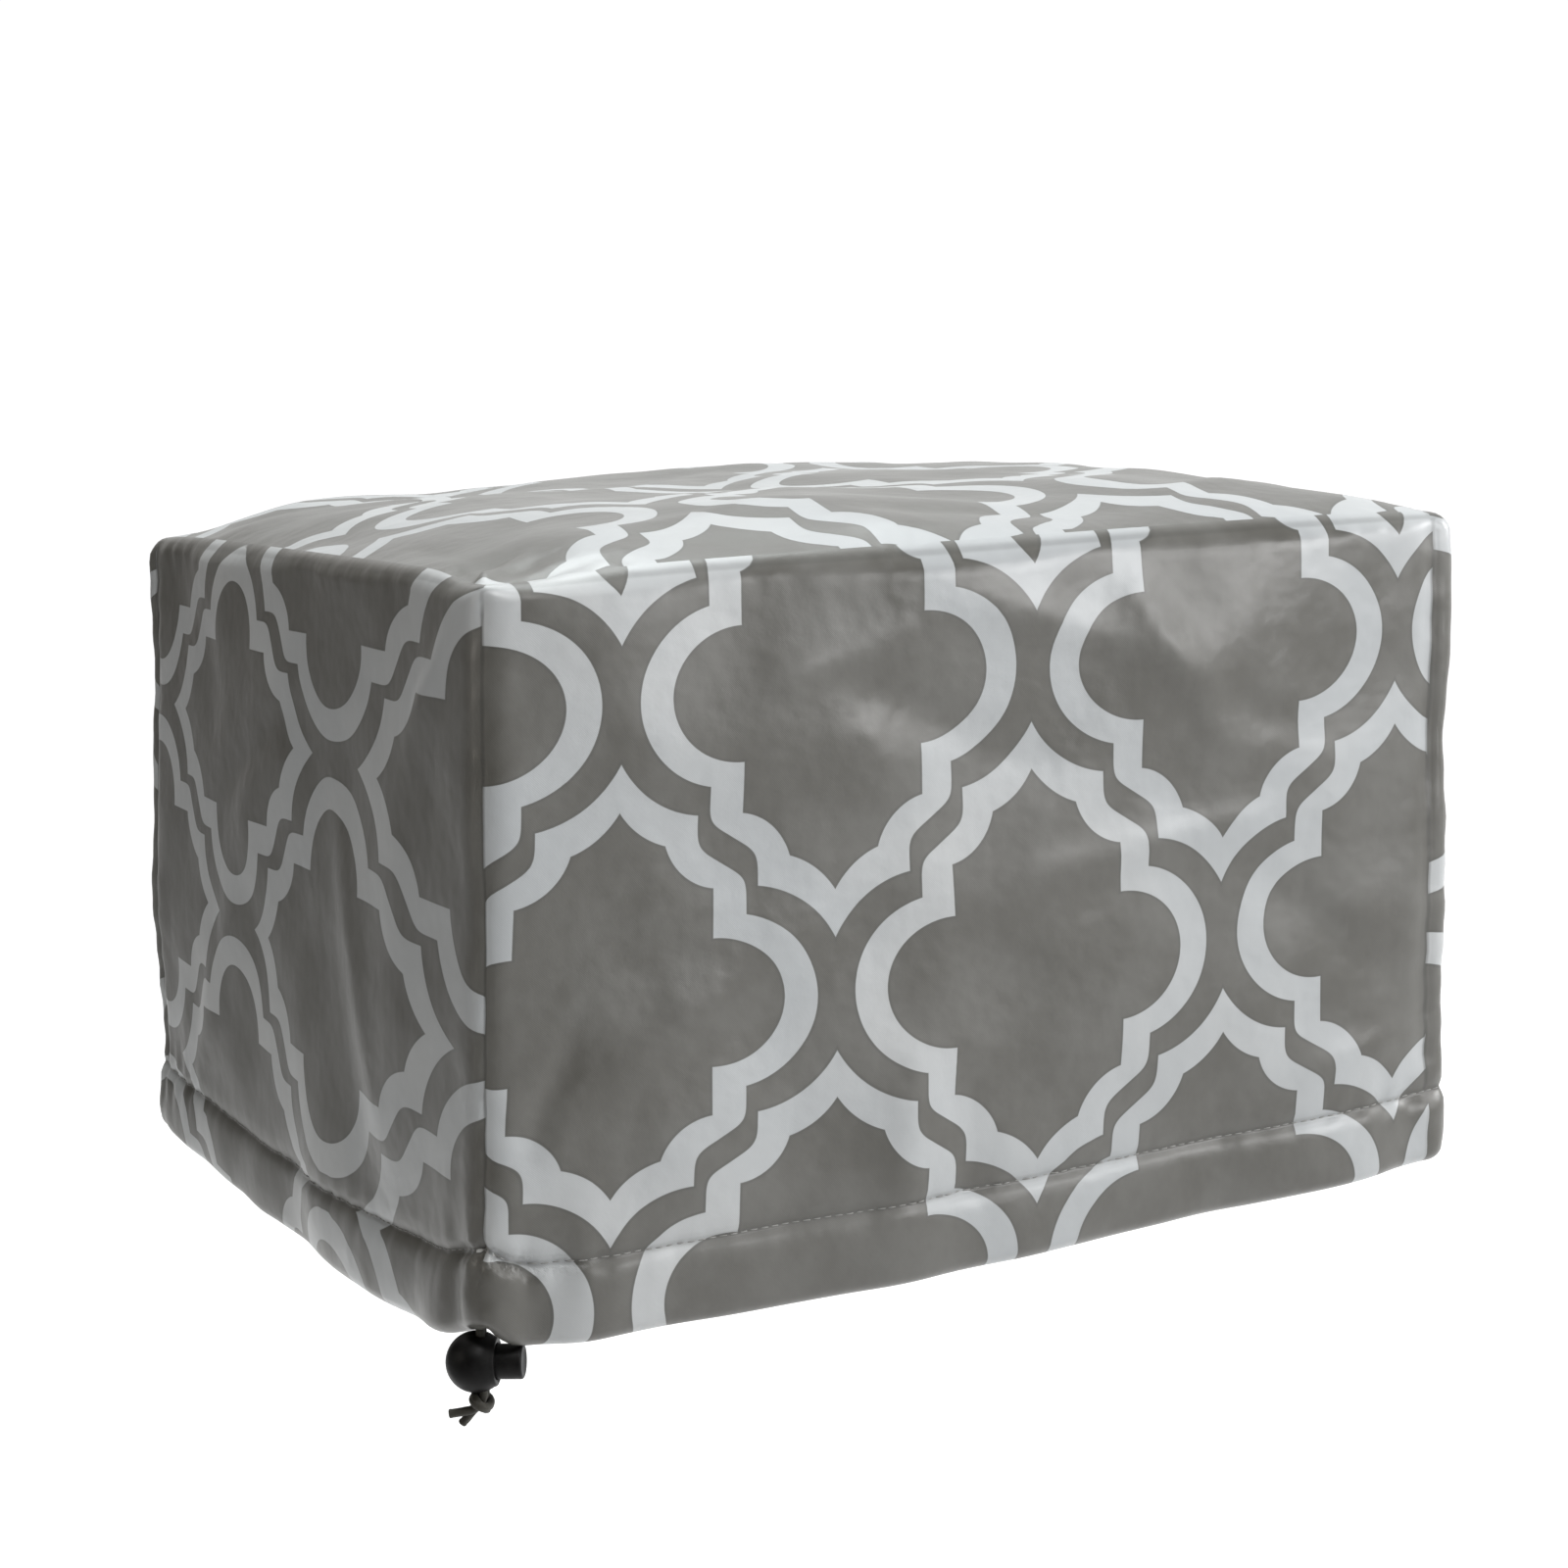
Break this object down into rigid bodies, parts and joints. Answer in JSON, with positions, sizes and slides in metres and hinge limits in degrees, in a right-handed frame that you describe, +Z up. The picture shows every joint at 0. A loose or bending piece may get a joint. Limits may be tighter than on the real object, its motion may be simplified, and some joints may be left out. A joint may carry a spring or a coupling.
{
  "type": "fitted box cover for a projector, with drawcord hem and cord lock",
  "caption": "Box-shaped printed cloth cover that slips down over a projector; a drawcord in its hem tightens through a ball cord lock with a push button.",
  "frame": {"origin": "underside of the cloth at the middle of the top, where the covered projector holds it up", "axes": "+Z up, -Y the front wall, +X to the right of the front wall; the cord lock is at the front left foot corner"},
  "size_m": [0.3481, 0.3413, 0.2586],
  "materials": {
    "printed_cloth": "smooth coated woven cloth, printed with a pale trellis on grey, soft satin sheen",
    "lock_plastic": "black moulded plastic with a soft sheen",
    "cord_braid": "matt black round braided cord"
  },
  "bodies": {
    "cover": {"cover_cloth": "printed_cloth", "cord_lock_body": "lock_plastic", "drawcord_strand_1": "cord_braid", "drawcord_strand_2": "cord_braid", "drawcord_knot": "cord_braid"},
    "button": {"cord_lock_button": "lock_plastic"}
  },
  "joints": [
    {"name": "button_press", "type": "slide", "parent": "cover", "child": "button", "axis": [-0.848, 0.5299, 0], "range_m": [0, 0.0026], "stiffness_N_per_m": 400, "springref_m": -0.003}
  ]
}
